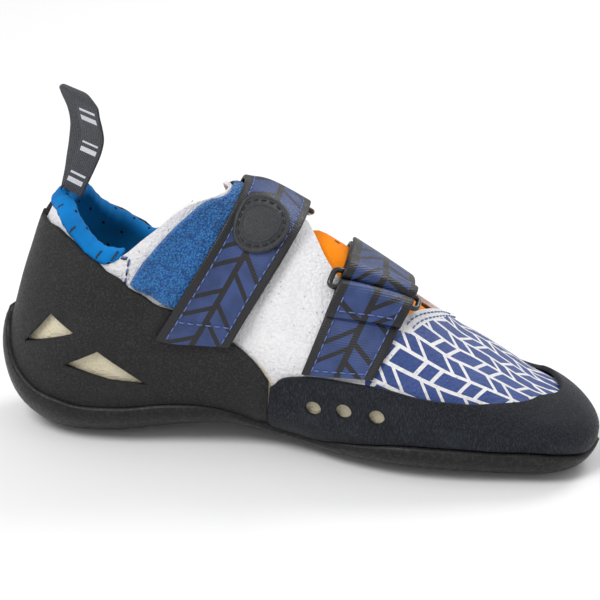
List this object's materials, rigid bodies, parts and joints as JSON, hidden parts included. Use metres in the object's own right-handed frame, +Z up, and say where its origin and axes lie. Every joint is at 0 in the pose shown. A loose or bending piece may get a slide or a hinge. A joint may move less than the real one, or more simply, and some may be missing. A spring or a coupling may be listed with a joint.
{
  "type": "climbing shoe",
  "caption": "Low-cut climbing shoe with a downturned rubber sole, wrapped toe and heel rands, a wide tongue, webbing straps through rings and a pull loop at the heel.",
  "frame": {"origin": "the middle of the heel's flat spot, on the floor", "axes": "+X runs from the heel to the toe, +Z is up, and -Y is the side of the other foot, the inner side of this left shoe"},
  "size_m": [0.256, 0.0952, 0.1456],
  "materials": {
    "white_synthetic": "smooth matt synthetic leather",
    "insole_board": "matt woven face",
    "orange_fabric": "matt perforated fabric",
    "blue_lining": "matt lining over soft padding",
    "sole_rubber": "smooth matt rubber",
    "rand_rubber": "fine-grained matt rubber",
    "blue_pile": "loop pile",
    "navy_webbing": "printed woven webbing",
    "black_plastic": "moulded, half gloss",
    "badge_rubber": "smooth matt rubber",
    "grey_webbing": "matt woven webbing"
  },
  "bodies": {
    "root": {"upper": "white_synthetic", "insole": "insole_board", "tongue": "orange_fabric", "collar_lining": "blue_lining", "outsole": "sole_rubber", "toe_rand": "rand_rubber", "heel_rand": "rand_rubber", "pile_panel": "blue_pile", "rear_strap": "navy_webbing", "rear_anchor": "navy_webbing", "rear_ring": "black_plastic", "badge": "badge_rubber", "front_strap": "navy_webbing", "front_anchor": "navy_webbing", "front_ring": "black_plastic", "pull_loop": "grey_webbing"}
  },
  "joints": []
}
